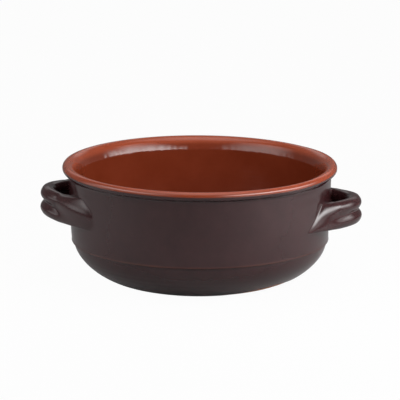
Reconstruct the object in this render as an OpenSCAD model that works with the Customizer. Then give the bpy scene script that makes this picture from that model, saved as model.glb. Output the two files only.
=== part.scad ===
// Round terracotta casserole dish with two loop handles, glazed brown outside and clear inside.
// Millimetres, +Z up. The origin is the centre of the flat base, and the handles lie on the X axis.

/* [Dish] */
// Diameter over the finished rim
rim_d = 240; // [190:1:300]
// Height from the table to the top of the finished rim
dish_h = 102.5; // [82:0.5:125]
// Diameter of the flat base
foot_d = 132; // [100:1:160]
// Slope of the wall away from upright, in degrees
wall_lean = 2.4; // [0:0.1:4]
// Height of the raised edge where the wall starts
ring_z = 34; // [28:0.5:44]
// How far the wall stands proud of the bowl below it
ring_step = 1.7; // [0.8:0.1:2.5]
// Height of the slope under the raised edge
ring_rise = 1.8; // [1:0.1:3]
// How fully the bowl below the ring is rounded
bowl_pull = 0.46; // [0.35:0.01:0.6]
// Thickness of the clay wall
wall_t = 7.8; // [6:0.1:9.5]
// Thickness of the clay floor
floor_t = 7.5; // [6:0.1:10]

/* [Rim] */
// How far the rim stands out past the top of the wall
rim_overhang = 4.8; // [3.8:0.1:6]
// Radius of the rounded outer edge of the rim
rim_out_r = 3.4; // [2.8:0.1:6]
// Radius of the rounded inner edge of the rim
rim_in_r = 5.5; // [3:0.1:6.5]
// Radius of the hollow under the rim
neck_r = 2.6; // [2:0.1:6]
// Slope of the flare inside the rim away from upright, in degrees
flare_lean = 24.5; // [20:0.5:35]
// Angle above the middle of the rim's outer edge where the two glazes meet, in degrees
glaze_line = 2; // [0:1:30]

/* [Handles] */
// Half the width of a loop, half way out
loop_half_w = 26.5; // [22:0.5:32]
// Radius of each of the two rolls of a loop
roll_r = 6; // [5:0.1:7.4]
// Distance between the middles of the two rolls
roll_pitch = 11.4; // [10.5:0.1:15]
// Radius in the bottom of the groove between the rolls
groove_r = 2; // [1.5:0.1:4]
// Growth of a loop's height where it is pressed to the wall
root_flare = 1.2; // [1:0.05:1.5]
// Share of a loop's thickness that is left where it is pressed to the wall
root_thin = 0.5; // [0.4:0.05:0.8]
// How far the end of a pressed root stands out from the wall
root_end_t = 1.4; // [1:0.1:3]
// Share by which the lower roll runs further along the wall than the middle of the loop
root_lean = 0.16; // [0:0.01:0.25]
// Share of a root's height that is rounded away at its end
root_round = 0.35; // [0:0.05:0.6]

/* [Left handle] */
// How far the loop reaches out from the wall
left_reach = 26; // [22:0.5:34]
// Depth of the tip of the loop below the top of the rim
left_tip_drop = 34; // [28:0.5:42]
// Depth of its roots below the top of the rim
left_root_drop = 37; // [35:0.5:44]
// Distance of its roots from the middle, along the wall
left_spread = 70; // [50:1:78]

/* [Right handle] */
// How far the loop reaches out from the wall
right_reach = 28; // [22:0.5:34]
// Depth of the tip of the loop below the top of the rim
right_tip_drop = 40; // [28:0.5:48]
// Depth of its roots below the top of the rim
right_root_drop = 39.5; // [35:0.5:44]
// Distance of its roots from the middle, along the wall
right_spread = 56; // [46:1:78]

/* [Coats] */
// Thickness of the glaze coats
glaze_t = 0.4; // [0.3:0.05:0.8]
// Thickness of the slip that holds the handles on
slip_t = 0.4; // [0.3:0.05:0.8]
// Height above the table where the brown glaze ends
bare_foot_z = 1.6; // [1:0.1:4]

/* [Hidden] */
$fn = 360;

clay = "#b5623c";
wet_clay = "#c98a66";
brown = "#4a3a38";
clear = "#a4542f";

long_arc = 24;
short_arc = 9;
loop_stations = 32;
roll_steps = 5;
groove_steps = 2;

// Where things start and end along a loop, as shares of the way from its tip to the end of its root.
groove_fades = [0.3, 0.7];
press_starts = 0.45;
level_from = 0.8;
end_rounds_from = 0.82;

// The clay rim is smaller than the finished rim by one coat.
rim_out = rim_d / 2 - glaze_t;
rim_top = dish_h - glaze_t;
rim_c = [rim_out - rim_out_r, rim_top - rim_out_r];
rim_in_c = [rim_c[0], rim_top - rim_in_r];
foot_r = foot_d / 2;

// The wall is a cone that leans out from the ring to the neck under the rim.
wall_slope = tan(wall_lean);
function wall_r(z) = rim_out - rim_overhang - (rim_c[1] - z) * wall_slope;

// The lower bowl starts along the wall's own slope, set in by the ring, and curves in to the flat base.
bowl_top = [wall_r(ring_z) - ring_step, ring_z];
bowl_corner = [wall_r(0) - ring_step, 0];

// The neck is a hollow arc that touches the wall and the rim's outer edge.
neck_dr = rim_out - rim_overhang + neck_r / cos(wall_lean) - rim_c[0];
neck_k = 1 + wall_slope * wall_slope;
neck_b = neck_dr * wall_slope;
neck_q = neck_k * (pow(rim_out_r + neck_r, 2) - neck_dr * neck_dr);
neck_drop = (neck_b + sqrt(neck_b * neck_b + neck_q)) / neck_k;
neck_c = rim_c + [neck_dr - neck_drop * wall_slope, -neck_drop];
neck_a = atan2(neck_drop, neck_c[0] - rim_c[0]);

// Inside, the flare meets the straight wall in a crease.
flare_top = rim_in_c + rim_in_r * [-cos(flare_lean), sin(flare_lean)];
flare_slope = tan(flare_lean);
crease_drop = (flare_top[0] - wall_r(flare_top[1]) + wall_t) / (flare_slope - wall_slope);
crease_z = flare_top[1] - crease_drop;
floor_corner = [wall_r(floor_t) - wall_t, floor_t];
floor_turn_z = ring_z + floor_t / 2;
floor_turn = [wall_r(floor_turn_z) - wall_t, floor_turn_z];
floor_pull = 0.5;

function arc(c, r, a0, a1, n) =
    [for (i = [0 : n]) let (a = a0 + (a1 - a0) * i / n) c + r * [cos(a), sin(a)]];

// A curve from p to q that is drawn towards a corner, and its points from share t0 to share t1 of the way.
function on_curve(p, q, corner, pull, t) =
    let (b = p + pull * (corner - p), c = q + pull * (corner - q), u = 1 - t)
    u * u * u * p + 3 * u * u * t * b + 3 * u * t * t * c + t * t * t * q;
function curve(p, q, corner, pull, n, t0 = 0, t1 = 1) =
    [for (i = [0 : n]) on_curve(p, q, corner, pull, t0 + (t1 - t0) * i / n)];

function rest(list) = [for (i = [1 : len(list) - 1]) list[i]];
function reverse(list) = [for (i = [len(list) - 1 : -1 : 0]) list[i]];
function smooth(x) = let (t = min(max(x, 0), 1)) t * t * (3 - 2 * t);

// A line of points moved sideways by t, to the left of the way it runs.
function left_of(v) = [-v[1], v[0]] / norm(v);
function grown(path, t) =
    [for (i = [0 : len(path) - 1])
        let (a = left_of(path[max(i, 1)] - path[max(i, 1) - 1]),
             j = min(i, len(path) - 2),
             b = left_of(path[j + 1] - path[j]),
             m = a + b)
        path[i] + 2 * t * m / (m * m)];

// The lower bowl from share t0 to share t1 of the way down, and the share where it reaches a height.
function bowl_curve(t0, t1, n) = curve(bowl_top, [foot_r, 0], bowl_corner, bowl_pull, n, t0, t1);
function bowl_share(z, low = 0, high = 1, turns = 24) =
    let (mid = (low + high) / 2)
    turns == 0 ? mid
    : bowl_curve(mid, mid, 1)[0][1] > z ? bowl_share(z, mid, high, turns - 1)
    : bowl_share(z, low, mid, turns - 1);
bare_share = bowl_share(bare_foot_z);

// The profile runs out over the floor, up the inside, over the rim and down the outside to the base.
inside = concat(
    [[0, floor_t]],
    curve([foot_r, floor_t], floor_turn, floor_corner, floor_pull, long_arc),
    [[wall_r(crease_z) - wall_t, crease_z]],
    arc(rim_in_c, rim_in_r, 180 - flare_lean, 90, short_arc),
    rest(arc(rim_c, rim_out_r, 90, glaze_line, short_arc)));
outside_glazed = concat(
    arc(rim_c, rim_out_r, glaze_line, -neck_a, short_arc),
    rest(arc(neck_c, neck_r, 180 - neck_a, 180 - wall_lean, short_arc)),
    [[wall_r(ring_z + ring_rise), ring_z + ring_rise]],
    bowl_curve(0, bare_share, long_arc));
outside_bare = rest(bowl_curve(bare_share, 1, short_arc));

// Loops run along the wall, s from their middle, and sink into it at both ends.
root_sink = roll_r * root_thin - root_end_t;
loop_power = 2.2;
function loop_off(s, reach) =
    (reach - roll_r + root_sink) * pow(0.5, pow(abs(s) / loop_half_w, loop_power)) - root_sink;
function loop_xy(s, z, root_z, reach) =
    let (a = s / wall_r(root_z) * 180 / PI)
    (wall_r(z) + loop_off(s, reach)) * [cos(a), sin(a)];

// Two rolls with a rounded groove between them on each side. The groove opens to a flat as bend nears 0.
flattest = 0.02;
function section(bend, grow) =
    let (h = roll_pitch / 2,
         r = roll_r + grow,
         f = groove_r / max(bend, flattest) - grow,
         d = sqrt((r + f) * (r + f) - h * h),
         a = atan2(h, d),
         roll = arc([0, h], r, -a, 180 + a, 2 * roll_steps),
         groove = arc([-d, 0], f, a, -a, groove_steps + 1),
         half = concat(roll, [for (i = [1 : groove_steps]) groove[i]]))
    concat(half, -half);

// One ring of points round a loop at s.
probe = 0.5;
function loop_ring(s, reach, tip_z, root_z, spread, grow) =
    let (e = abs(s) / spread,
         press = smooth((e - press_starts) / (1 - press_starts)),
         bend = 1 - smooth((e - groove_fades[0]) / (groove_fades[1] - groove_fades[0])),
         rounding = 1 - root_round * smooth((e - end_rounds_from) / (1 - end_rounds_from)),
         thin = 1 + (root_thin - 1) * press,
         tall = (1 + (root_flare - 1) * press) * rounding,
         half_h = roll_pitch / 2 + roll_r,
         mid_z = root_z + (tip_z - root_z) * (1 - smooth(e / level_from)))
    [for (p = section(bend, grow))
        let (z = mid_z + p[1] * tall,
             s_here = s * (1 - root_lean * press * p[1] / half_h),
             ahead = loop_xy(s_here + probe, z, root_z, reach),
             along = ahead - loop_xy(s_here - probe, z, root_z, reach),
             xy = loop_xy(s_here, z, root_z, reach) - left_of(along) * p[0] * thin)
        [xy[0], xy[1], z]];

module loop(reach, tip_drop, root_drop, spread, grow) {
    n = len(section(1, 0));
    end = spread + grow;
    rings = [for (i = [0 : loop_stations])
        let (s = end * (2 * i / loop_stations - 1))
        loop_ring(s, reach, rim_top - tip_drop, rim_top - root_drop, spread, grow)];
    sides = [for (i = [0 : loop_stations - 1], j = [0 : n - 1], half = [0, 1])
        let (a = i * n + j, b = i * n + (j + 1) % n)
        half == 0 ? [a, b, a + n] : [b, b + n, a + n]];
    first = [for (j = [n - 1 : -1 : 0]) j];
    last = [for (j = [0 : n - 1]) loop_stations * n + j];
    polyhedron([for (ring = rings, p = ring) p], concat(sides, [first, last]));
}

module left_loop(grow = 0) {
    rotate(180) loop(left_reach, left_tip_drop, left_root_drop, left_spread, grow);
}

module right_loop(grow = 0) {
    loop(right_reach, right_tip_drop, right_root_drop, right_spread, grow);
}

// The space inside the dish's outside, grown by t.
module outline(t) {
    skin = grown(concat(outside_glazed, outside_bare), t);
    rotate_extrude() polygon(concat([[0, skin[0][1]]], skin, [[0, 0]]));
}

module coat(path) {
    rotate_extrude() polygon(concat(path, reverse(grown(path, glaze_t))));
}

// A loop cut to the wall, with room for the slip.
module scribed() {
    difference() {
        children();
        outline(slip_t);
    }
}

// The slip under one root of a loop, in front of the X axis (side -1) or behind it (side 1).
module slip_bed(side) {
    intersection() {
        children();
        translate([-rim_d, side < 0 ? -rim_d : 0, 0]) cube([2 * rim_d, rim_d, dish_h]);
        difference() {
            outline(slip_t);
            outline(0);
        }
    }
}

// The coat between a grown loop and the loop itself, down to the coat on the wall.
module sleeve() {
    difference() {
        children(0);
        children(1);
        outline(glaze_t);
    }
}

module bowl() {
    color(clay) rotate_extrude() polygon(concat(inside, rest(outside_glazed), outside_bare, [[0, 0]]));
}

module left_handle() {
    color(clay) scribed() left_loop();
}

module right_handle() {
    color(clay) scribed() right_loop();
}

module left_front_slip() {
    color(wet_clay) slip_bed(-1) left_loop();
}

module left_rear_slip() {
    color(wet_clay) slip_bed(1) left_loop();
}

module right_front_slip() {
    color(wet_clay) slip_bed(-1) right_loop();
}

module right_rear_slip() {
    color(wet_clay) slip_bed(1) right_loop();
}

module outer_glaze() {
    color(brown) difference() {
        coat(outside_glazed);
        left_loop();
        right_loop();
    }
}

module left_handle_glaze() {
    color(brown) sleeve() {
        left_loop(glaze_t);
        left_loop();
    }
}

module right_handle_glaze() {
    color(brown) sleeve() {
        right_loop(glaze_t);
        right_loop();
    }
}

module inner_glaze() {
    color(clear) coat(inside);
}

bowl();
left_handle();
right_handle();
left_front_slip();
left_rear_slip();
right_front_slip();
right_rear_slip();
outer_glaze();
left_handle_glaze();
right_handle_glaze();
inner_glaze();
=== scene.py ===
"""The looks of a terracotta casserole dish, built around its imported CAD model.

Shapes are worked out in millimetres, and meshes, camera, lamps and finishes are in metres.
"""
import math

import bpy
import numpy as np
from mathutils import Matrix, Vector


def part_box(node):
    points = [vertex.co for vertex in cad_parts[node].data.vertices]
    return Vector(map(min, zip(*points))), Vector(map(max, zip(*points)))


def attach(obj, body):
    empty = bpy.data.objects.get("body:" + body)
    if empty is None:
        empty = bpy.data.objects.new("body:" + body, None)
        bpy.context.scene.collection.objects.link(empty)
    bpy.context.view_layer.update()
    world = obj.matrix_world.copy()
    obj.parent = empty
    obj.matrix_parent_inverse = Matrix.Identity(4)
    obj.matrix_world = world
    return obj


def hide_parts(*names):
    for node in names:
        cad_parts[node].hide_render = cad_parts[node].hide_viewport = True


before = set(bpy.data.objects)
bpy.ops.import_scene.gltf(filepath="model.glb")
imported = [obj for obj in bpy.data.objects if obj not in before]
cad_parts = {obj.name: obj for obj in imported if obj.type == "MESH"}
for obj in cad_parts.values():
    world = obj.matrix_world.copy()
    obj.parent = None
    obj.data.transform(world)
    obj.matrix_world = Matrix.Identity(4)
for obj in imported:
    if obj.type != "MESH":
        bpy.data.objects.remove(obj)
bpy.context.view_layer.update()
MM = 0.001
rng = np.random.default_rng(11)


def box_mm(node):
    """Lowest and highest corner of a CAD node, in millimetres."""
    return [np.array(corner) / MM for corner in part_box(node)]


# Sizes read from the imported CAD parts
RIM_R = box_mm("outer_glaze")[1][0]
DISH_H = box_mm("inner_glaze")[1][2]
FLOOR_T = box_mm("inner_glaze")[0][2]
CLAY_H = box_mm("bowl")[1][2]
COAT = DISH_H - CLAY_H

# Sizes of the profile, as in the CAD model
RIM_OVERHANG = 4.8
RIM_OUT_R = 3.4
FLARE_LEAN = math.radians(24.5)
WALL_LEAN = math.radians(2.4)
RING_Z = 34.0
RING_STEP = 1.7
FOOT_R = 66.0
BOWL_PULL = 0.46
BARE_FOOT_Z = 1.6
GLAZE_LINE = math.radians(2)
FLOOR_PULL = 0.5

# Sizes of the profile that differ a little from the CAD model
RIM_IN_R = 6.5
NECK_R = 4.0
RING_RISE = 0.6
FLARE_BULGE = 0.15
WALL_T = 7.25

# Sizes of the loops, as in the CAD model
LOOP_HALF_W = 26.5
LOOP_POWER = 2.2
ROLL_R = 6.0
GROOVE_R = 2.0

# How deep the middle line of a loop ends in the wall
LOOP_SINK = 1.65

rim_out = RIM_R - COAT
rim_c = np.array([rim_out - RIM_OUT_R, CLAY_H - RIM_OUT_R])
rim_in_c = np.array([rim_c[0], CLAY_H - RIM_IN_R])
wall_slope = math.tan(WALL_LEAN)


def wall_r(z):
    """Radius of the clay wall at a height."""
    return rim_out - RIM_OVERHANG - (rim_c[1] - z) * wall_slope


def smooth(x):
    """0 below 0, 1 above 1 and an even S between them."""
    t = np.clip(x, 0, 1)
    return t * t * (3 - 2 * t)


def arc(centre, radius, a0, a1, n):
    """n + 1 points on an arc."""
    a = np.linspace(a0, a1, n + 1)
    return np.stack([centre[0] + radius * np.cos(a), centre[1] + radius * np.sin(a)], axis=1)


def line(p, q, n):
    """n + 1 points on a straight line."""
    t = np.linspace(0, 1, n + 1)[:, None]
    return np.asarray(p) * (1 - t) + np.asarray(q) * t


def offset(path, t):
    """A line of points moved sideways by t, to the left of the way it runs."""
    d = np.gradient(path, axis=0)
    d /= np.linalg.norm(d, axis=1)[:, None]
    return path + t * np.stack([-d[:, 1], d[:, 0]], axis=1)


def curve(p, q, corner, pull, t):
    """Points from p to q, at shares t of the way, on a curve drawn towards a corner."""
    p, q, corner = np.array(p), np.array(q), np.array(corner)
    b = p + pull * (corner - p)
    c = q + pull * (corner - q)
    t = np.asarray(t)[:, None]
    u = 1 - t
    return u ** 3 * p + 3 * u * u * t * b + 3 * u * t * t * c + t ** 3 * q


def bowl_curve(t):
    """The lower bowl: along the wall's own slope, set in by the ring, then in to the flat base."""
    top = [wall_r(RING_Z) - RING_STEP, RING_Z]
    return curve(top, [FOOT_R, 0.0], [wall_r(0) - RING_STEP, 0.0], BOWL_PULL, t)


# The share of the lower bowl's curve at which the brown glaze ends
FINE_STEPS = 2000
fine_shares = np.linspace(0, 1, FINE_STEPS + 1)
bare_share = float(np.interp(-BARE_FOOT_Z, -bowl_curve(fine_shares)[:, 1], fine_shares))

# The neck is a hollow arc that touches the wall and the rim's outer edge.
neck_dr = rim_out - RIM_OVERHANG + NECK_R / math.cos(WALL_LEAN) - rim_c[0]
neck_k = 1 + wall_slope ** 2
neck_b = neck_dr * wall_slope
neck_q = neck_k * ((RIM_OUT_R + NECK_R) ** 2 - neck_dr ** 2)
neck_drop = (neck_b + math.sqrt(neck_b ** 2 + neck_q)) / neck_k
neck_c = rim_c + [neck_dr - neck_drop * wall_slope, -neck_drop]
neck_a = math.atan2(neck_drop, neck_c[0] - rim_c[0])

# Inside, the flare meets the straight wall in a crease.
flare_top = rim_in_c + RIM_IN_R * np.array([-math.cos(FLARE_LEAN), math.sin(FLARE_LEAN)])
crease_drop = (flare_top[0] - wall_r(flare_top[1]) + WALL_T) / (math.tan(FLARE_LEAN) - wall_slope)
crease_z = flare_top[1] - crease_drop
crease = np.array([wall_r(crease_z) - WALL_T, crease_z])

# Rows of the outside, from the rim down. Two rows lie close together on each side of the raised edge.
RIM_STEPS = 5
NECK_STEPS = 4
WALL_ROWS = (88.5, *range(84, 40, -4), 40.5)
RING_HOLD = 0.9
RING_SHARES = (0, 0.03)
BOWL_FROM = 0.1
BOWL_ROWS = 13


def outside_profile(grow):
    """Points (r, z) down the outside from the line where the glazes meet to the bare foot."""
    rim = arc(rim_c, RIM_OUT_R + grow, GLAZE_LINE, -neck_a, RIM_STEPS)
    neck = arc(neck_c, NECK_R - grow, math.pi - neck_a, math.pi - WALL_LEAN, NECK_STEPS)[1:]
    ring_top = RING_Z + RING_RISE
    wall = np.array([[wall_r(z) + grow, z] for z in (*WALL_ROWS, ring_top + RING_HOLD, ring_top)])
    shares = np.concatenate([RING_SHARES, np.linspace(BOWL_FROM, 1, BOWL_ROWS)]) * bare_share
    bowl = offset(bowl_curve(shares), grow)
    return np.concatenate([rim, neck, wall, bowl])


# Steps of the inside, from the middle of the floor
FLOOR_STEPS = 32
BEND_STEPS = 24
INNER_WALL_STEPS = 44
FLARE_STEPS = 12
RIM_IN_STEPS = 12
RIM_TOP_STEPS = 14


def inside_profile():
    """Points (r, z) of the clay from the middle of the floor, up the inside and over the rim."""
    turn_z = RING_Z + FLOOR_T / 2
    start = [FOOT_R, FLOOR_T]
    turn = [wall_r(turn_z) - WALL_T, turn_z]
    corner = [wall_r(FLOOR_T) - WALL_T, FLOOR_T]
    floor = line([0, FLOOR_T], start, FLOOR_STEPS)[:-1]
    bend = curve(start, turn, corner, FLOOR_PULL, np.linspace(0, 1, BEND_STEPS + 1))
    wall = line(turn, crease, INNER_WALL_STEPS)[1:]
    flare = line(crease, flare_top, FLARE_STEPS)[1:-1]
    share = np.linspace(0, 1, FLARE_STEPS + 1)[1:-1]
    flare[:, 0] -= FLARE_BULGE * 4 * share * (1 - share)
    rim_in = arc(rim_in_c, RIM_IN_R, math.pi - FLARE_LEAN, math.pi / 2, RIM_IN_STEPS)
    rim_top = arc(rim_c, RIM_OUT_R, math.pi / 2, GLAZE_LINE, RIM_TOP_STEPS)[1:]
    return np.concatenate([floor, bend, wall, flare, rim_in, rim_top])


# Unevenness of the hand and the fire
OVAL = 0.0012
THREE_SIDED = 0.0003
THREE_SIDED_TURN = 1.1
RIM_DIP = 0.35
RIM_TILT = 1.5
RIM_DIP_FROM_Z = 45
RIM_DIP_FADE = 55
RIM_END_LIFT = 0.8
RIM_END_FROM_X = 85
RIM_END_FADE = 30
FOOT_SHIFT = 0.6
FOOT_SHIFT_Z = 18
FOOT_SHIFT_FADE = 30

# Marks of the throwing, on the inside only
INSIDE_DEPTH = 3
INSIDE_FADE = 2
ABOVE_FLOOR = 1
ABOVE_FLOOR_FADE = 10
THROWING_PITCH = 4.6
THROWING_DEPTH = 0.03
THROWING_PATCHES = 3
THROWING_PATCH_H = 19
CREASE_BAND = 3
CREASE_REACH = 2.5
CREASE_WANDER = 0.3
wander_turns = (9, 23, 37, 61, 83, 107, 131)
wander_phase = rng.uniform(0, 2 * math.pi, len(wander_turns))


def crease_wander(a):
    """How far the crease rises or falls round the dish."""
    waves = [np.sin(n * a + p) for n, p in zip(wander_turns, wander_phase)]
    return CREASE_WANDER * sum(waves) / math.sqrt(len(waves))


def hand_made(points):
    """Bends a shape a little: slightly oval, the rim lower on the right, throwing lines inside."""
    x, y, z = np.array(points, dtype=float).T
    a = np.arctan2(y, x)
    r = np.hypot(x, y)
    inside = smooth((wall_r(z) - INSIDE_DEPTH - r) / INSIDE_FADE)
    inside = inside * smooth((z - FLOOR_T - ABOVE_FLOOR) / ABOVE_FLOOR_FADE)
    under_crease = inside * smooth((crease_z + CREASE_BAND - z) / (2 * CREASE_BAND))
    patches = 1 + np.sin(THROWING_PATCHES * a + z / THROWING_PATCH_H)
    ripple = THROWING_DEPTH * np.sin(2 * math.pi * z / THROWING_PITCH + a) * patches
    oval = OVAL * (1 - np.cos(2 * a))
    three_sided = THREE_SIDED * (1 + np.cos(3 * a - THREE_SIDED_TURN))
    r_new = r * (1 - smooth(z / DISH_H) * (oval + three_sided)) - under_crease * ripple
    end = smooth((x - RIM_END_FROM_X) / RIM_END_FADE)
    dip = RIM_DIP + RIM_TILT * (1 + x / RIM_R) / 2 - RIM_END_LIFT * end
    drop = dip * smooth((z - RIM_DIP_FROM_Z) / RIM_DIP_FADE)
    lift = inside * np.exp(-((z - crease_z) / CREASE_REACH) ** 2) * crease_wander(a)
    shift = FOOT_SHIFT * (1 - smooth((z - FOOT_SHIFT_Z) / FOOT_SHIFT_FADE))
    return np.stack([r_new * np.cos(a) + shift, r_new * np.sin(a), z - drop + lift], axis=1)


# Meshes
def put(name, data):
    """A new object in the scene."""
    obj = bpy.data.objects.new(name, data)
    bpy.context.collection.objects.link(obj)
    return obj


def make_object(name, points_mm, faces, material):
    """A smooth mesh object from points in millimetres."""
    mesh = bpy.data.meshes.new(name)
    mesh.from_pydata((np.asarray(points_mm) * MM).tolist(), [], faces)
    mesh.validate()
    mesh.update()
    mesh.shade_smooth()
    mesh.materials.append(material)
    return put(name, mesh)


def evaluated(obj):
    """Bakes an object's modifiers into its mesh."""
    graph = bpy.context.evaluated_depsgraph_get()
    mesh = bpy.data.meshes.new_from_object(obj.evaluated_get(graph))
    obj.modifiers.clear()
    obj.data = mesh
    return obj


def read_points(mesh):
    """A mesh's points, in millimetres."""
    co = np.empty(len(mesh.vertices) * 3)
    mesh.vertices.foreach_get("co", co)
    return co.reshape(-1, 3) / MM


def write_points(mesh, points_mm):
    """Moves a mesh's points to places in millimetres."""
    mesh.vertices.foreach_set("co", (points_mm * MM).ravel())
    mesh.update()


def store(mesh, name, values):
    """Keeps one value for each point on a mesh."""
    mesh.attributes.new(name, "FLOAT", "POINT").data.foreach_set("value", values.astype(np.float32))


# Lathed pieces
LATHE_SEGMENTS = 480


def lathe(name, path, material):
    """Turns a path that starts and ends on the axis into a closed object."""
    n = LATHE_SEGMENTS
    a = np.arange(n) * 2 * math.pi / n
    rings = path[1:-1]
    points = [[0, 0, path[0][1]], [0, 0, path[-1][1]]]
    for r, z in rings:
        points.extend(np.stack([r * np.cos(a), r * np.sin(a), np.full(n, z)], axis=1).tolist())
    last = 2 + (len(rings) - 1) * n
    faces = [[0, 2 + i, 2 + (i + 1) % n] for i in range(n)]
    faces += [[1, last + (i + 1) % n, last + i] for i in range(n)]
    for j in range(len(rings) - 1):
        here = 2 + j * n
        for i in range(n):
            k = (i + 1) % n
            faces.append([here + i, here + n + i, here + n + k, here + k])
    return make_object(name, hand_made(points), faces, material)


# The clear glaze runs on a little, under the edge of the brown one.
UNDERLAP = math.radians(4)
UNDERLAP_COAT = 0.12
UNDERLAP_START = 0.01
UNDERLAP_STEPS = 3

# Painted shade: the lining is coloured darker inside the bowl, below the rim's inner edge, and lighter over
# the rim, less so on its outer side.
UNSHADED_RIM_FROM_Z = 94
UNSHADED_RIM_DEPTH = 4.5
UNSHADED_RIM_OUT = 3.0
UNSHADED_RIM_LESS = 0.5


def mark_painted_shade(mesh):
    """Stores where the lining keeps its lighter rim colour instead of the painted shade of the inside."""
    x, y, z = read_points(mesh).T
    out = smooth((np.hypot(x, y) - rim_c[0]) / UNSHADED_RIM_OUT)
    store(mesh, "unshaded_rim", smooth((z - UNSHADED_RIM_FROM_Z) / UNSHADED_RIM_DEPTH) * (1 - UNSHADED_RIM_LESS * out))


def clear_glaze(material):
    """The clear lining: its face, a thin lip under the brown glaze, and its back on the clay."""
    clay_face = inside_profile()
    face = offset(clay_face, COAT)
    face[0] = [0, FLOOR_T + COAT]
    lip_r = RIM_OUT_R + COAT - UNDERLAP_COAT
    lip = arc(rim_c, lip_r, GLAZE_LINE - UNDERLAP_START, GLAZE_LINE - UNDERLAP, UNDERLAP_STEPS)
    lining = lathe("clear_glaze_lining", np.concatenate([face, lip, clay_face[::-1]]), material)
    # Stores the mask of the painted shade inside the bowl.
    mark_painted_shade(lining.data)
    return lining


# The clay reaches a little into the clear glaze, and its base has faint turning lines.
CLAY_LAP = 0.03
FOOT_STEPS = 8
BASE_STEPS = 40
BASE_LINE_DEPTH = 0.12
BASE_LINE_TURN = 1.1
BASE_LINE_EDGE = 3
BASE_LINE_FADE = 4


def bowl_clay(material):
    """The fired clay of the bowl, seen at the foot and under the base."""
    inside = offset(inside_profile(), CLAY_LAP)
    inside[0] = [0, FLOOR_T + CLAY_LAP]
    outside = outside_profile(0.0)
    foot = bowl_curve(np.linspace(bare_share, 1, FOOT_STEPS + 1))[1:]
    base = line([FOOT_R, 0], [0, 0], BASE_STEPS)[1:]
    within = smooth((FOOT_R - BASE_LINE_EDGE - base[:, 0]) / BASE_LINE_FADE)
    base[:, 1] += BASE_LINE_DEPTH * (1 + np.sin(base[:, 0] * BASE_LINE_TURN)) * within
    return lathe("bowl_clay", np.concatenate([inside, outside[1:], foot, base]), material)


# The brown glaze is one skin over the outside and both handles, on a grid of columns and rows.
COLUMNS = 96
COLUMN_A = 2 * math.pi / COLUMNS

# A handle's roots join the grid at two windows, given in columns from its middle and in heights.
WINDOW_NEAR = 4
WINDOW_FAR = 10
WINDOW_TOP_Z = 80
WINDOW_FOOT_Z = 48

# How far round a window the grid gives way to it
WINDOW_FADE_S = 1.6
WINDOW_FADE_Z = 0.6
ROWS_ABOVE = 2
ROWS_BELOW = 4
MOVED_NEAR_S = 1
MOVED_FAR_S = 110

# A loop's arm, up to ARM_S along the wall on each side of its middle
ARM_S = 27.0
ARM_RINGS = 17
TIP_TILT = 0.03
TIP_FADE_S = 48
FREE_OFF = 14
SLOPE_STEP = 0.5

# The groove is full in the middle of a loop and nearly gone at its roots.
GROOVE_LOST = 0.8
GROOVE_FULL_S = 8
GROOVE_FADE_S = 21

# A loop's ring has as many steps up a face as a window has rows, four of its points on each roll.
ROLL_CORNER = math.radians(45)
ROLL_POINTS = 4

# Rings from an arm to the wall: share of the way, height left on the outer face and on the other sides
ROOT_STEPS = (0.24, 0.48, 0.7, 0.86, 0.95)
ROOT_OUTER = (0.68, 0.44, 0.24, 0.12, 0.04)
ROOT_SIDES = (0.66, 0.38, 0.17, 0.06, 0.01)
ROOT_MOST = 1.35
ROOT_FILLET = 0.2
ROOT_ROUNDING = 3

# The outer face of a root has a crest near its top and ends in a raised lip.
CREST = 0.8
CREST_AT = 0.7
CREST_WIDTH = 1.9
LIP = 2.6
LIP_START = 3
LIP_TOP_LESS = 0.5
LIP_FROM = 0.5
LIP_FADE = 0.4

# Each handle's turn round the dish, its sizes, and the corners of its roots as (along the wall, height)
HANDLES = {
    "left": {
        "at": math.pi,
        "reach": 25.8,
        "tip_z": 68.6,
        "root_z": 65.1,
        "pitch": 12.6,
        "bulge": 13.0,
        "gather": 1.2,
        "sag": 0.0,
        "near_foot": (28, 54),
        "near_top": (28, 79),
        "far_foot": (72, 55),
        "far_top": (60, 82.5),
    },
    "right": {
        "at": 0.0,
        "reach": 27.9,
        "tip_z": 62.5,
        "root_z": 62.3,
        "pitch": 12.0,
        "bulge": 0.5,
        "gather": 0.0,
        "sag": 1.5,
        "near_foot": (27, 50),
        "near_top": (27, 74.5),
        "far_foot": (69, 53),
        "far_top": (41, 75.5),
    },
}

rows = outside_profile(COAT)
rows_up = rows[::-1]
top_row = int(np.argmin(abs(rows[:, 1] - WINDOW_TOP_Z)))
foot_row = int(np.argmin(abs(rows[:, 1] - WINDOW_FOOT_Z)))
face_rows = foot_row - top_row


def skin_r(z):
    """Radius of the glazed outside at a height."""
    return np.interp(z, rows_up[:, 1], rows_up[:, 0])


def section(pitch, bend):
    """Ring of (x, z) round a loop, x outwards: up the outer face, over, down the inner face and under."""
    h = pitch / 2
    r = ROLL_R + COAT
    f = GROOVE_R / bend - COAT
    d = math.sqrt((r + f) ** 2 - h * h)
    roll = np.linspace(-ROLL_CORNER, math.atan2(h, d), ROLL_POINTS)
    lower = [[r * math.cos(t), -h + r * math.sin(t)] for t in roll]
    upper = [[x, -z] for x, z in reversed(lower)]
    face = lower + [[d - f, 0.0]] + upper
    cap = arc([0, h], r, ROLL_CORNER, math.pi - ROLL_CORNER, WINDOW_FAR - WINDOW_NEAR).tolist()
    face_in = [[-x, -z] for x, z in face]
    cap_in = [[-x, -z] for x, z in cap]
    return np.array(face[:-1] + cap[:-1] + face_in[:-1] + cap_in[:-1])


def loop_off(handle, s):
    """How far the middle of a loop stands off the wall."""
    reach = handle["reach"] - ROLL_R + LOOP_SINK
    return reach * 0.5 ** ((abs(s) / LOOP_HALF_W) ** LOOP_POWER) - LOOP_SINK


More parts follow.
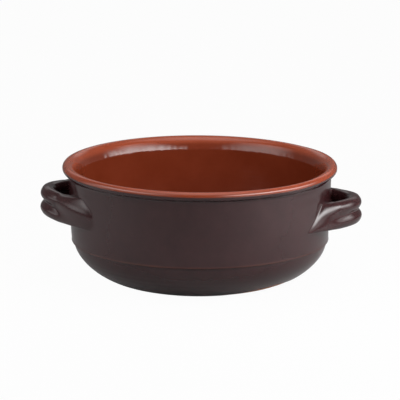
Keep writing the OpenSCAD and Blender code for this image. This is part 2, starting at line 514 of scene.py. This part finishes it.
def to_xyz(handle, s, off, z):
    """A point s along the wall from a handle's middle and off out from it."""
    a = handle["at"] + s / wall_r(handle["root_z"])
    free = smooth(off / FREE_OFF)
    r = skin_r(z) * (1 - free) + skin_r(handle["root_z"]) * free + off
    return [r * math.cos(a), r * math.sin(a), z]


def along_wall(handle, x, y):
    """How far along the wall from a handle's middle a point lies."""
    turn = (math.atan2(y, x) - handle["at"] + math.pi) % (2 * math.pi) - math.pi
    return turn * wall_r(handle["root_z"])


def arm_ring(handle, s):
    """Ring of (s, off, z) round a loop's arm, s along the wall from its middle."""
    bend = 1 - GROOVE_LOST * smooth((abs(s) - GROOVE_FULL_S) / GROOVE_FADE_S)
    rise = handle["tip_z"] - handle["root_z"]
    mid_z = handle["root_z"] + rise * (1 - smooth(abs(s) / TIP_FADE_S))
    mid_z -= handle["sag"] * smooth(s / ARM_S)
    mid_off = loop_off(handle, s)
    slope = (loop_off(handle, s + SLOPE_STEP) - loop_off(handle, s - SLOPE_STEP)) / (2 * SLOPE_STEP)
    stretch = 1 + mid_off / wall_r(handle["root_z"])
    across = np.array([-slope / stretch, 1.0]) / math.hypot(slope / stretch, 1.0)
    ring = []
    for x, z in section(handle["pitch"], bend):
        off = mid_off - COAT + across[1] * x - TIP_TILT * z
        ring.append([s + across[0] * x / stretch, off, mid_z + z])
    return np.array(ring)


def root_outline(handle, u, v):
    """Point (s, z) in a root's outline for u from -1, near, to 1, far, and v from -1, foot, to 1, top."""
    p = (u + 1) / 2
    q = ((v + 1) / 2) ** (1 + handle["gather"] * p)
    foot = (1 - p) * np.array(handle["near_foot"]) + p * np.array(handle["far_foot"])
    top = (1 - p) * np.array(handle["near_top"]) + p * np.array(handle["far_top"])
    s, z = (1 - q) * foot + q * top
    return s + handle["bulge"] * p * 4 * q * (1 - q), z


def window_place(handle, s, z):
    """Moves a grid point (s from the handle's middle, z) so that the root windows get their outline."""
    unit = COLUMN_A * wall_r(handle["root_z"])
    mid = (WINDOW_NEAR + WINDOW_FAR) / 2 * unit
    half = (WINDOW_FAR - WINDOW_NEAR) / 2 * unit
    mid_z = (WINDOW_TOP_Z + WINDOW_FOOT_Z) / 2
    half_z = (WINDOW_TOP_Z - WINDOW_FOOT_Z) / 2
    u = (abs(s) - mid) / half
    v = (z - mid_z) / half_z
    fade = 1 - smooth((abs(u) - 1) / WINDOW_FADE_S)
    fade *= 1 - smooth((abs(v) - 1) / WINDOW_FADE_Z)
    u_edge = np.clip(u, -1, 1)
    v_edge = np.clip(v, -1, 1)
    want_s, want_z = root_outline(handle, u_edge, v_edge)
    side = 1 if s > 0 else -1
    want_z -= handle["sag"] * (side > 0)
    moved_s = abs(s) + fade * (want_s - mid - half * u_edge)
    moved_z = z + fade * (want_z - mid_z - half_z * v_edge)
    return side * moved_s, moved_z


def root_rings(arm, target):
    """Rings (s, off, z) that lead from the end of an arm to the outline on the wall."""
    k = np.arange(face_rows + 1)
    crest = np.exp(-((k - CREST_AT * face_rows) / CREST_WIDTH) ** 2)
    lip = LIP * smooth(k / LIP_START) * (1 - LIP_TOP_LESS * smooth(k - face_rows + 1))
    face = slice(0, face_rows + 1)
    rings = []
    for t, outer, sides in zip(ROOT_STEPS, ROOT_OUTER, ROOT_SIDES):
        ring = arm + (target - arm) * t
        ring[:, 1] = arm[:, 1] * sides
        raised = arm[face, 1] * outer * (1 + CREST * t * crest)
        raised = np.maximum(raised, lip * smooth((t - LIP_FROM) / LIP_FADE))
        most = ROOT_MOST * arm[face, 1] * (1 - t) * smooth((1 - t) / ROOT_FILLET)
        ring[face, 1] = np.clip(raised, ring[face, 1], np.maximum(most, ring[face, 1]))
        for _ in range(ROOT_ROUNDING):
            ring[:, 1] = ring[:, 1] / 2 + (np.roll(ring[:, 1], 1) + np.roll(ring[:, 1], -1)) / 4
        rings.append(ring)
    return rings


def grid_id(j, i):
    """Number of the grid point in row j and column i."""
    return j * COLUMNS + i % COLUMNS


def grid_points():
    """The points of the grid, moved round the root windows."""
    turns = [i * COLUMN_A for i in range(COLUMNS)]
    points = [[r * math.cos(a), r * math.sin(a), z] for r, z in rows for a in turns]
    for handle in HANDLES.values():
        for j in range(top_row - ROWS_ABOVE, foot_row + ROWS_BELOW):
            for i, a in enumerate(turns):
                s = along_wall(handle, math.cos(a), math.sin(a))
                if MOVED_NEAR_S < abs(s) < MOVED_FAR_S:
                    s, z = window_place(handle, s, rows[j, 1])
                    points[grid_id(j, i)] = to_xyz(handle, s, 0.0, z)
    return points


def grid_faces():
    """The quads of the grid, without the root windows."""
    cut = set()
    for handle in HANDLES.values():
        middle = round(handle["at"] / COLUMN_A)
        for k in range(WINDOW_NEAR, WINDOW_FAR):
            for column in (middle + k, middle - k - 1):
                cut.update((j, column % COLUMNS) for j in range(top_row, foot_row))
    faces = []
    for j in range(len(rows) - 1):
        for i in range(COLUMNS):
            if (j, i) not in cut:
                faces.append([grid_id(j, i), grid_id(j + 1, i), grid_id(j + 1, i + 1), grid_id(j, i + 1)])
    return faces


def window_loop(handle, side):
    """Grid points round a root window, in the order of a section ring."""
    middle = round(handle["at"] / COLUMN_A)
    across = [middle + side * k for k in range(WINDOW_NEAR, WINDOW_FAR + 1)]
    up = list(range(foot_row, top_row - 1, -1))
    loop = [grid_id(j, across[-1]) for j in up[:-1]]
    loop += [grid_id(top_row, i) for i in across[:0:-1]]
    loop += [grid_id(j, across[0]) for j in up[:0:-1]]
    loop += [grid_id(foot_row, i) for i in across[:-1]]
    return loop


def add_ring(points, handle, ring):
    """Adds a ring of (s, off, z) to the points and gives their numbers."""
    start = len(points)
    points.extend(to_xyz(handle, *p) for p in ring)
    return list(range(start, start + len(ring)))


def add_loop(points, faces, handle):
    """Adds the rings of one loop from root to root, each joined to the next, and gives its root points."""
    arms = [arm_ring(handle, s) for s in np.linspace(-ARM_S, ARM_S, ARM_RINGS)]
    chain = [add_ring(points, handle, ring) for ring in arms]
    roots = []
    for arm, side in ((arms[0], -1), (arms[-1], 1)):
        loop = window_loop(handle, side)
        target = np.array([[along_wall(handle, *points[v][:2]), 0.0, points[v][2]] for v in loop])
        new = [add_ring(points, handle, ring) for ring in root_rings(arm, target)] + [loop]
        chain = chain + new if side > 0 else new[::-1] + chain
        roots.extend(v for ring in new for v in ring)
    for a, b in zip(chain, chain[1:]):
        n = len(a)
        faces.extend([a[k], b[k], b[(k + 1) % n], a[(k + 1) % n]] for k in range(n))
    return roots


def glaze_cage():
    """Points and quads of the skin before it is subdivided, and the loose points it need not pass through."""
    points = grid_points()
    faces = grid_faces()
    loose = [grid_id(j, i) for j in (0, len(rows) - 1) for i in range(COLUMNS)]
    for handle in HANDLES.values():
        loose += add_loop(points, faces, handle)
    return np.array(points), faces, loose


def limit_points(points, faces):
    """Where the control points end up when the cage is subdivided for ever."""
    n = len(points)
    edge_sum = np.zeros((n, 3))
    face_sum = np.zeros((n, 3))
    valence = np.zeros(n)
    f = np.array(faces)
    for k in range(4):
        here, after, across = f[:, k], f[:, (k + 1) % 4], f[:, (k + 2) % 4]
        before = f[:, (k + 3) % 4]
        np.add.at(edge_sum, here, (points[after] + points[before]) / 2)
        np.add.at(face_sum, here, points[across])
        np.add.at(valence, here, 1)
    v = valence[:, None]
    return (v * v * points + 4 * edge_sum + face_sum) / (v * (v + 5))


FIT_TURNS = 6


def fitted_cage(points, faces, loose):
    """Moves the control points so that the finished skin passes through all but the loose points."""
    cage = points.copy()
    for _ in range(FIT_TURNS):
        step = points - limit_points(cage, faces)
        step[loose] = 0
        cage += step
    return cage


# The brown glaze ends in uneven lines, and higher at the front right of the foot.
GLAZE_WAVE = 0.05
GLAZE_SLIDE = 0.5
RIM_BAND = 2
FOOT_WAVE = 0.25
FOOT_WAVE_TURN = 1
FOOT_RISE = 7.0
FOOT_RISE_AT = math.radians(-42)
FOOT_RISE_SPREAD = 0.42
FOOT_BAND_Z = 20
FOOT_FADE = 16
EDGE_WAVE_MOST = 1.5
edge_turns = (3, 5, 8, 13, 21, 34, 47)
edge_phase = rng.uniform(0, 2 * math.pi, len(edge_turns))


def edge_wave(a):
    """A slow uneven wave round the dish, about -1 to 1."""
    waves = [np.sin(n * a + p) / math.sqrt(n) for n, p in zip(edge_turns, edge_phase)]
    return sum(waves) / EDGE_WAVE_MOST


def run_edges(points):
    """Moves the ends of the brown glaze at the rim and at the foot, by sliding it along the clay."""
    x, y, z = points.T
    a = np.arctan2(y, x)
    r = np.hypot(x, y)
    turn = np.arctan2(z - rim_c[1], r - rim_c[0])
    reach = np.hypot(z - rim_c[1], r - rim_c[0])
    on_rim = (z > rim_c[1] - RIM_BAND) & (r > rim_c[0])
    turn_new = turn + GLAZE_WAVE * edge_wave(a) * smooth((turn - GLAZE_LINE + GLAZE_SLIDE) / GLAZE_SLIDE)
    r = np.where(on_rim, rim_c[0] + reach * np.cos(turn_new), r)
    z = np.where(on_rim, rim_c[1] + reach * np.sin(turn_new), z)
    away = (a - FOOT_RISE_AT + math.pi) % (2 * math.pi) - math.pi
    wave = FOOT_WAVE * (1 + edge_wave(a + FOOT_WAVE_TURN))
    rise = wave + FOOT_RISE * np.exp(-(away / FOOT_RISE_SPREAD) ** 2)
    on_foot = z < FOOT_BAND_Z
    z_new = z + rise * (1 - smooth((z - BARE_FOOT_Z) / FOOT_FADE))
    r = np.where(on_foot, r + skin_r(z_new) - skin_r(z), r)
    z = np.where(on_foot, z_new, z)
    return np.stack([r * np.cos(a), r * np.sin(a), z], axis=1)


# The brown glaze is thin on sharp edges, where it ends, and unevenly on the raised edge.
THIN_BEND = 0.14
THIN_BEND_FADE = 0.4
THIN_MOST = 0.8
THIN_RIM = 0.22
THIN_RIM_FADE = 0.2
THIN_FOOT = 1.2
THIN_RING_Z = 0.4
THIN_RING_SPREAD = 0.8
THIN_RING = 0.55
THIN_RING_WAVE = 0.3
LEAST_WEIGHT = 1e-6


def bending(mesh, p):
    """How sharply a mesh bends outwards at each of its points p."""
    n = np.empty(len(p) * 3)
    mesh.vertices.foreach_get("normal", n)
    n = n.reshape(-1, 3)
    ends = np.empty(len(mesh.edges) * 2, dtype=int)
    mesh.edges.foreach_get("vertices", ends)
    ends = ends.reshape(-1, 2)
    pull = np.zeros(len(p))
    weight = np.zeros(len(p))
    for here, there in ((ends[:, 0], ends[:, 1]), (ends[:, 1], ends[:, 0])):
        d = p[there] - p[here]
        np.add.at(pull, here, (d * n[here]).sum(axis=1))
        np.add.at(weight, here, (d * d).sum(axis=1))
    return -2 * pull / np.maximum(weight, LEAST_WEIGHT)


def mark_thin(mesh):
    """Stores where the brown glaze has run thin."""
    p = read_points(mesh)
    x, y, z = p.T
    on_bends = smooth((bending(mesh, p) - THIN_BEND) / THIN_BEND_FADE)
    turn = np.arctan2(z - rim_c[1], np.hypot(x, y) - rim_c[0])
    at_rim = smooth((turn - GLAZE_LINE + THIN_RIM) / THIN_RIM_FADE) * (z > rim_c[1] - RIM_BAND)
    at_foot = 1 - smooth((z - BARE_FOOT_Z) / THIN_FOOT)
    above_ring = z - RING_Z - RING_RISE
    at_ring = np.exp(-((above_ring - THIN_RING_Z) / THIN_RING_SPREAD) ** 2)
    at_ring = at_ring * (THIN_RING + THIN_RING_WAVE * edge_wave(np.arctan2(y, x)))
    at_ends = np.maximum(np.maximum(at_rim, at_foot), at_ring)
    store(mesh, "thin", np.maximum(on_bends, THIN_MOST * at_ends))


SUBDIVISIONS = 2


def brown_glaze(material):
    """The brown coat, a closed shell one coat thick."""
    points, faces, loose = glaze_cage()
    obj = make_object("brown_glaze_coat", fitted_cage(points, faces, loose), faces, material)
    subdivide = obj.modifiers.new("subdivide", "SUBSURF")
    subdivide.levels = SUBDIVISIONS
    subdivide.render_levels = SUBDIVISIONS
    evaluated(obj)
    mark_thin(obj.data)
    write_points(obj.data, hand_made(run_edges(read_points(obj.data))))
    shell = obj.modifiers.new("shell", "SOLIDIFY")
    shell.thickness = COAT * MM
    shell.offset = -1
    return evaluated(obj)


# Shader nodes. Most of a noise pattern lies between the low and the high value.
NOISE_LOW = 0.3
NOISE_HIGH = 0.7
BLACK = (0, 0, 0)
WHITE = (1, 1, 1)

# Places of the colours among the sockets of a mix node
MIX_A = 6
MIX_B = 7
MIX_RESULT = 2


def feed(tree, value, socket):
    """Gives a socket another node's output, or a plain value."""
    if isinstance(value, bpy.types.NodeSocket):
        tree.links.new(value, socket)
    else:
        socket.default_value = value


def calculate(tree, operation, *values):
    """A calculation with outputs of other nodes and plain numbers."""
    node = tree.nodes.new("ShaderNodeMath")
    node.operation = operation
    for value, socket in zip(values, node.inputs):
        feed(tree, value, socket)
    return node.outputs[0]


def map_range(tree, value, from_low, from_high, to_low, to_high, steps="LINEAR"):
    """A value brought from one range to another."""
    node = tree.nodes.new("ShaderNodeMapRange")
    node.interpolation_type = steps
    feed(tree, value, node.inputs["Value"])
    feed(tree, from_low, node.inputs["From Min"])
    feed(tree, from_high, node.inputs["From Max"])
    feed(tree, to_low, node.inputs["To Min"])
    feed(tree, to_high, node.inputs["To Max"])
    return node.outputs["Result"]


def noise(tree, scale, detail, roughness=0.5):
    """A noise pattern fixed to the object, with scale in waves per metre."""
    place = tree.nodes.new("ShaderNodeTexCoord")
    node = tree.nodes.new("ShaderNodeTexNoise")
    feed(tree, place.outputs["Object"], node.inputs["Vector"])
    feed(tree, scale, node.inputs["Scale"])
    feed(tree, detail, node.inputs["Detail"])
    feed(tree, roughness, node.inputs["Roughness"])
    return node.outputs["Fac"]


def ramp(tree, value, low, low_colour, high, high_colour):
    """One colour up to a low value and another from a high value on."""
    node = tree.nodes.new("ShaderNodeValToRGB")
    first, last = node.color_ramp.elements
    first.position = low
    first.color = (*low_colour, 1)
    last.position = high
    last.color = (*high_colour, 1)
    feed(tree, value, node.inputs["Fac"])
    return node.outputs["Color"]


def clouded(tree, cloud, dark, light):
    """Two colours that run into each other along a noise pattern."""
    return ramp(tree, cloud, NOISE_LOW, dark, NOISE_HIGH, light)


def speckled(tree, base, scale, detail, start, full, colour):
    """Specks of a colour over a base."""
    specks = ramp(tree, noise(tree, scale, detail), start, BLACK, full, WHITE)
    return mix(tree, specks, base, colour)


def spread(tree, value, low, high):
    """A noise pattern spread from low to high."""
    return map_range(tree, value, NOISE_LOW, NOISE_HIGH, low, high)


def marked(tree, name):
    """A value stored on the mesh."""
    node = tree.nodes.new("ShaderNodeAttribute")
    node.attribute_name = name
    return node.outputs["Fac"]


def mix(tree, amount, a, b):
    """Colour b, given as red, green and blue or as an output, over an output a by an amount."""
    node = tree.nodes.new("ShaderNodeMix")
    node.data_type = "RGBA"
    feed(tree, amount, node.inputs["Factor"])
    feed(tree, a, node.inputs[MIX_A])
    feed(tree, (*b, 1) if isinstance(b, tuple) else b, node.inputs[MIX_B])
    return node.outputs[MIX_RESULT]


def bump(tree, shader, *layers):
    """Stacks relief layers, each a height pattern with its depth in metres."""
    under = None
    for height, depth in layers:
        node = tree.nodes.new("ShaderNodeBump")
        node.inputs["Strength"].default_value = 1.0
        node.inputs["Distance"].default_value = depth
        tree.links.new(height, node.inputs["Height"])
        if under:
            tree.links.new(under, node.inputs["Normal"])
        under = node.outputs["Normal"]
    tree.links.new(under, shader.inputs["Normal"])


# Materials
def new_material(name):
    """A material, its nodes and its shader."""
    m = bpy.data.materials.new(name)
    m.use_nodes = True
    return m, m.node_tree, m.node_tree.nodes["Principled BSDF"]


def brown_glaze_material():
    """Dark brown and glossy, lighter where it has run thin."""
    dark = (0.0285, 0.0085, 0.0093)
    light = (0.0372, 0.012, 0.0129)
    thin = (0.095, 0.036, 0.026)
    speck = (0.045, 0.021, 0.018)
    soft_relief = 0.0001
    fine_relief = 0.00001
    m, tree, shader = new_material("brown_glaze")
    base = clouded(tree, noise(tree, scale=40, detail=4, roughness=0.6), dark, light)
    broken = mix(tree, marked(tree, "thin"), base, thin)
    colour = speckled(tree, broken, scale=1300, detail=1, start=0.70, full=0.78, colour=speck)
    feed(tree, colour, shader.inputs["Base Color"])
    roughness = spread(tree, noise(tree, scale=90, detail=3), low=0.12, high=0.18)
    feed(tree, roughness, shader.inputs["Roughness"])
    waves = noise(tree, scale=60, detail=1)
    grain = noise(tree, scale=420, detail=2)
    bump(tree, shader, (waves, soft_relief), (grain, fine_relief))
    return m


def clear_glaze_material():
    """Glossy over deep orange clay, with painted shade: darker inside the bowl than over the rim."""
    # The inside's colours are painted shade; the rim's colours are the same glaze without it.
    painted_shade_dark = (0.151, 0.0236, 0.0083)
    painted_shade_light = (0.178, 0.0302, 0.0119)
    unshaded_rim_dark = (0.28, 0.0485, 0.0177)
    unshaded_rim_light = (0.322, 0.0615, 0.0252)
    speck = (0.136, 0.024, 0.0101)
    soft_relief = 0.00006
    fine_relief = 0.00001
    m, tree, shader = new_material("clear_glaze")
    cloud = noise(tree, scale=45, detail=4, roughness=0.6)
    deep = clouded(tree, cloud, painted_shade_dark, painted_shade_light)
    unshaded_rim = clouded(tree, cloud, unshaded_rim_dark, unshaded_rim_light)
    base = mix(tree, marked(tree, "unshaded_rim"), deep, unshaded_rim)
    colour = speckled(tree, base, scale=1100, detail=1, start=0.68, full=0.76, colour=speck)
    feed(tree, colour, shader.inputs["Base Color"])
    roughness = spread(tree, noise(tree, scale=110, detail=3), low=0.07, high=0.13)
    feed(tree, roughness, shader.inputs["Roughness"])
    waves = noise(tree, scale=90, detail=1)
    grain = noise(tree, scale=500, detail=2)
    bump(tree, shader, (waves, soft_relief), (grain, fine_relief))
    return m


def terracotta_material():
    """Bare fired clay, matt and grainy."""
    dark = (0.44, 0.17, 0.085)
    light = (0.56, 0.25, 0.14)
    grog = (0.34, 0.12, 0.06)
    relief = 0.0002
    m, tree, shader = new_material("terracotta")
    base = clouded(tree, noise(tree, scale=60, detail=5, roughness=0.6), dark, light)
    colour = speckled(tree, base, scale=900, detail=2, start=0.6, full=0.7, colour=grog)
    feed(tree, colour, shader.inputs["Base Color"])
    roughness = spread(tree, noise(tree, scale=300, detail=3), low=0.8, high=0.95)
    feed(tree, roughness, shader.inputs["Roughness"])
    bump(tree, shader, (noise(tree, scale=1500, detail=3), relief))
    return m


def add_piece(piece, slot, *nodes):
    """Says which body a piece rides on and hides the CAD nodes it stands for; the slot is not used."""
    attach(piece, "root")
    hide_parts(*nodes)


add_piece(brown_glaze(brown_glaze_material()), "brown_glaze",
          "outer_glaze", "left_handle_glaze", "right_handle_glaze")
add_piece(clear_glaze(clear_glaze_material()), "clear_glaze", "inner_glaze")
add_piece(bowl_clay(terracotta_material()), "terracotta",
          "bowl", "left_handle", "right_handle",
          "left_front_slip", "left_rear_slip", "right_front_slip", "right_rear_slip")


def direction(azimuth, elevation):
    """Way out from the dish: azimuth 0 is to the front and a quarter turn is to the right."""
    level = math.cos(elevation)
    return Vector((math.sin(azimuth) * level, -math.cos(azimuth) * level, math.sin(elevation)))


# Camera: where it looks from, and where the middle of the rim lies in its picture
VIEW_A = math.radians(2)
VIEW_E = math.radians(12.5)
VIEW_DISTANCE = 2.5
VIEW_END = 50
FOCAL_PX = 2862.5
FRAME_PX = 400
SENSOR_MM = 36
RIM_PX = (199.8, 166.7)
RIM_Z = 0.0978


def add_camera():
    """Adds the camera."""
    away = direction(VIEW_A, VIEW_E)
    rim = Vector((0, 0, RIM_Z))
    right = Vector((math.cos(VIEW_A), math.sin(VIEW_A), 0))
    up = away.cross(right)
    metres_per_px = VIEW_DISTANCE / FOCAL_PX
    middle = FRAME_PX / 2
    aim = rim + right * (middle - RIM_PX[0]) * metres_per_px - up * (middle - RIM_PX[1]) * metres_per_px
    data = bpy.data.cameras.new("camera")
    data.sensor_width = SENSOR_MM
    data.lens = FOCAL_PX * SENSOR_MM / FRAME_PX
    data.clip_end = VIEW_END
    camera = put("camera", data)
    camera.location = rim + away * VIEW_DISTANCE
    camera.rotation_euler = (aim - camera.location).to_track_quat("-Z", "Y").to_euler()
    bpy.context.scene.camera = camera


# The share of a lamp's width and height over which it fades, its middle, and where it aims unless told
LAMP_EDGE = 0.4
LAMP_MIDDLE = 0.5
DISH_MIDDLE = (0, 0, 0.06)


def soften(data):
    """Lets a lamp fade towards its edges."""
    data.use_nodes = True
    tree = data.node_tree
    place = tree.nodes.new("ShaderNodeNewGeometry")
    parts = tree.nodes.new("ShaderNodeSeparateXYZ")
    tree.links.new(place.outputs["Parametric"], parts.inputs[0])
    fades = []
    for way in ("X", "Y"):
        inward = calculate(tree, "PINGPONG", parts.outputs[way], LAMP_MIDDLE)
        fades.append(map_range(tree, inward, 0, LAMP_EDGE, 0, 1, "SMOOTHSTEP"))
    feed(tree, calculate(tree, "MULTIPLY", *fades), tree.nodes["Emission"].inputs["Strength"])


def add_softbox(name, azimuth, elevation, distance, size, radiance, aim=DISH_MIDDLE, beam=180):
    """An area lamp aimed at a point. Angles are in degrees."""
    away = direction(math.radians(azimuth), math.radians(elevation))
    data = bpy.data.lights.new(name, "AREA")
    data.shape = "RECTANGLE"
    data.size, data.size_y = size
    data.energy = radiance * math.pi * size[0] * size[1]
    data.spread = math.radians(beam)
    soften(data)
    lamp = put(name, data)
    lamp.location = Vector(aim) + away * distance
    lamp.rotation_euler = (-away).to_track_quat("-Z", "Y").to_euler()
    lamp.visible_camera = False


def show_white(tree, lit, white, output, camera_share, glossy_share):
    """Shows plain white instead of a lit shader, by one share to the lens and by another in reflections."""
    path = tree.nodes.new("ShaderNodeLightPath")
    lens = calculate(tree, "MAXIMUM", path.outputs["Is Camera Ray"], path.outputs["Is Transmission Ray"])
    part = calculate(tree, "MULTIPLY", path.outputs["Is Glossy Ray"], glossy_share)
    blend = tree.nodes.new("ShaderNodeMixShader")
    feed(tree, calculate(tree, "MULTIPLY_ADD", lens, camera_share, part), blend.inputs[0])
    tree.links.new(lit.outputs[0], blend.inputs[1])
    tree.links.new(white.outputs[0], blend.inputs[2])
    tree.links.new(blend.outputs[0], tree.nodes[output].inputs[0])


# The room is evenly lit, but darker round one direction, up and to the front.
ROOM_LEVEL = 0.15
ROOM_DARK = 0.03
DARK_E = math.radians(38)
DARK_FROM = math.radians(40)
DARK_TO = math.radians(22)

# How white the background and the floor look to the lens, and both in reflections
WORLD_WHITE = 1.0
FLOOR_WHITE = 0.97
GLOSSY_WHITE = 0.03


def add_world():
    """Adds the room's light and the white background."""
    world = bpy.data.worlds.new("studio")
    bpy.context.scene.world = world
    world.use_nodes = True
    tree = world.node_tree
    room = tree.nodes["Background"]
    room.inputs["Color"].default_value = (*WHITE, 1)
    place = tree.nodes.new("ShaderNodeTexCoord")
    near = tree.nodes.new("ShaderNodeVectorMath")
    near.operation = "DOT_PRODUCT"
    near.inputs[1].default_value = direction(0, DARK_E)
    tree.links.new(place.outputs["Generated"], near.inputs[0])
    level = map_range(tree, near.outputs["Value"], math.cos(DARK_FROM), math.cos(DARK_TO),
                      ROOM_LEVEL, ROOM_DARK, "SMOOTHSTEP")
    feed(tree, level, room.inputs["Strength"])
    white = tree.nodes.new("ShaderNodeBackground")
    white.inputs["Color"].default_value = (*WHITE, 1)
    show_white(tree, room, white, "World Output", WORLD_WHITE, GLOSSY_WHITE)


FLOOR_HALF = 8.0
FLOOR_GREY = 0.37
FLOOR_ROUGHNESS = 0.9
FLOOR_SHINE = 0.1


def add_floor():
    """Adds the floor, grey as light sees it and white to the lens."""
    corners = [(x * FLOOR_HALF, y * FLOOR_HALF, 0) for x, y in ((-1, -1), (1, -1), (1, 1), (-1, 1))]
    mesh = bpy.data.meshes.new("floor")
    mesh.from_pydata(corners, [], [(0, 1, 2, 3)])
    m, tree, shader = new_material("floor")
    shader.inputs["Base Color"].default_value = (FLOOR_GREY, FLOOR_GREY, FLOOR_GREY, 1)
    shader.inputs["Roughness"].default_value = FLOOR_ROUGHNESS
    shader.inputs["Specular IOR Level"].default_value = FLOOR_SHINE
    white = tree.nodes.new("ShaderNodeEmission")
    show_white(tree, shader, white, "Material Output", FLOOR_WHITE, GLOSSY_WHITE)
    mesh.materials.append(m)
    put("floor", mesh)


bpy.context.scene.view_settings.view_transform = "Standard"
add_camera()
add_world()
add_floor()

# Name, azimuth, elevation, distance, width and height, radiance, and for the pools of light an aim and a beam
add_softbox("right", 57, 29.5, 0.68, (1.25, 0.46), 7.4)
add_softbox("right_long", 95, 22, 0.8, (0.55, 0.3), 4.2)
add_softbox("right_low", 88, 8, 0.8, (0.65, 0.3), 1.7)
add_softbox("left", -60, 33, 0.72, (1.4, 0.55), 2.4)
add_softbox("left_low", -88, 8, 0.8, (0.65, 0.3), 1.3)
add_softbox("top", 0, 86, 1.2, (1.8, 2.2), 1.5)
add_softbox("back", 180, 28, 1.5, (2.4, 0.6), 0.6)
add_softbox("right_pool", 62, 70, 0.3, (0.45, 0.3), 2.7, (0.31, -0.13, 0), 90)
add_softbox("left_pool", -62, 70, 0.3, (0.45, 0.3), 1.35, (-0.29, -0.13, 0), 90)
